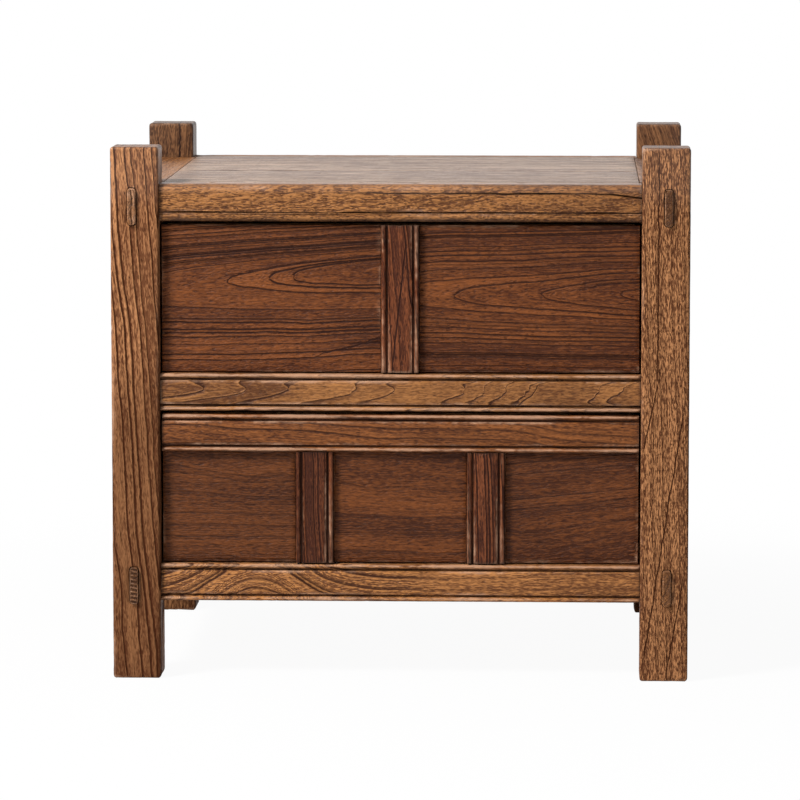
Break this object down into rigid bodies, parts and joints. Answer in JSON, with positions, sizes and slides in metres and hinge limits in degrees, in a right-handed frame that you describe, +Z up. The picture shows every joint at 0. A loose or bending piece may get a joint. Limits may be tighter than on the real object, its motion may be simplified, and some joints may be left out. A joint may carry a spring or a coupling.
{
  "type": "nightstand",
  "caption": "Solid-wood nightstand: square posts stand past the top, side rails tenon through them, and panelled drawers without handles slide between beaded rails.",
  "frame": {"origin": "middle of the footprint at floor level, under the centre of the bounding box", "axes": "+X to the right as seen from the front, +Y from the front to the back, +Z up"},
  "size_m": [0.55, 0.458, 0.51],
  "materials": {
    "post_elm": "open-grained elm, warm brown stain, satin oil, worn edges",
    "rail_elm": "open-grained elm, warm brown stain, satin oil, beads worn pale",
    "top_elm": "open-grained elm boards, satin oil",
    "panel_elm": "open-grained elm, dark brown stain, satin",
    "mullion_elm": "open-grained elm, dark brown stain, satin, beads worn pale",
    "inner_wood": "plain planed wood, no stain",
    "screw_steel": "zinc-plated steel"
  },
  "bodies": {
    "carcass": {"post_front_left": "post_elm", "post_front_right": "post_elm", "post_back_left": "post_elm", "post_back_right": "post_elm", "top_rail_front": "rail_elm", "top_rail_back": "rail_elm", "top_rail_left": "rail_elm", "top_rail_right": "rail_elm", "top_board_front": "top_elm", "top_board_back": "top_elm", "top_batten": "inner_wood", "mid_rail_front": "rail_elm", "mid_rail_back": "rail_elm", "bottom_rail_front": "rail_elm", "bottom_rail_back": "rail_elm", "bottom_rail_left": "rail_elm", "bottom_rail_right": "rail_elm", "side_panel_left": "panel_elm", "side_panel_right": "panel_elm", "back_panel_upper": "panel_elm", "back_panel_lower": "panel_elm", "runner_upper_left": "inner_wood", "runner_upper_right": "inner_wood", "runner_lower_left": "inner_wood", "runner_lower_right": "inner_wood", "guide_upper_left": "inner_wood", "guide_upper_right": "inner_wood", "guide_lower_left": "inner_wood", "guide_lower_right": "inner_wood", "kicker_left": "inner_wood", "kicker_right": "inner_wood", "drawer_stops": "inner_wood"},
    "upper_drawer": {"upper_box_front": "inner_wood", "upper_box_left": "inner_wood", "upper_box_right": "inner_wood", "upper_box_back": "inner_wood", "upper_box_bottom": "inner_wood", "upper_panel_left": "panel_elm", "upper_panel_right": "panel_elm", "upper_mullion": "mullion_elm", "upper_face_screws": "screw_steel"},
    "lower_drawer": {"lower_box_front": "inner_wood", "lower_box_left": "inner_wood", "lower_box_right": "inner_wood", "lower_box_back": "inner_wood", "lower_box_bottom": "inner_wood", "lower_face_rail": "mullion_elm", "lower_panel_left": "panel_elm", "lower_panel_middle": "panel_elm", "lower_panel_right": "panel_elm", "lower_mullion_left": "mullion_elm", "lower_mullion_right": "mullion_elm", "lower_face_screws": "screw_steel"}
  },
  "joints": [
    {"name": "upper_drawer_slide", "type": "slide", "parent": "carcass", "child": "upper_drawer", "axis": [0, -1, 0], "range_m": [0, 0.28]},
    {"name": "lower_drawer_slide", "type": "slide", "parent": "carcass", "child": "lower_drawer", "axis": [0, -1, 0], "range_m": [0, 0.28]}
  ]
}
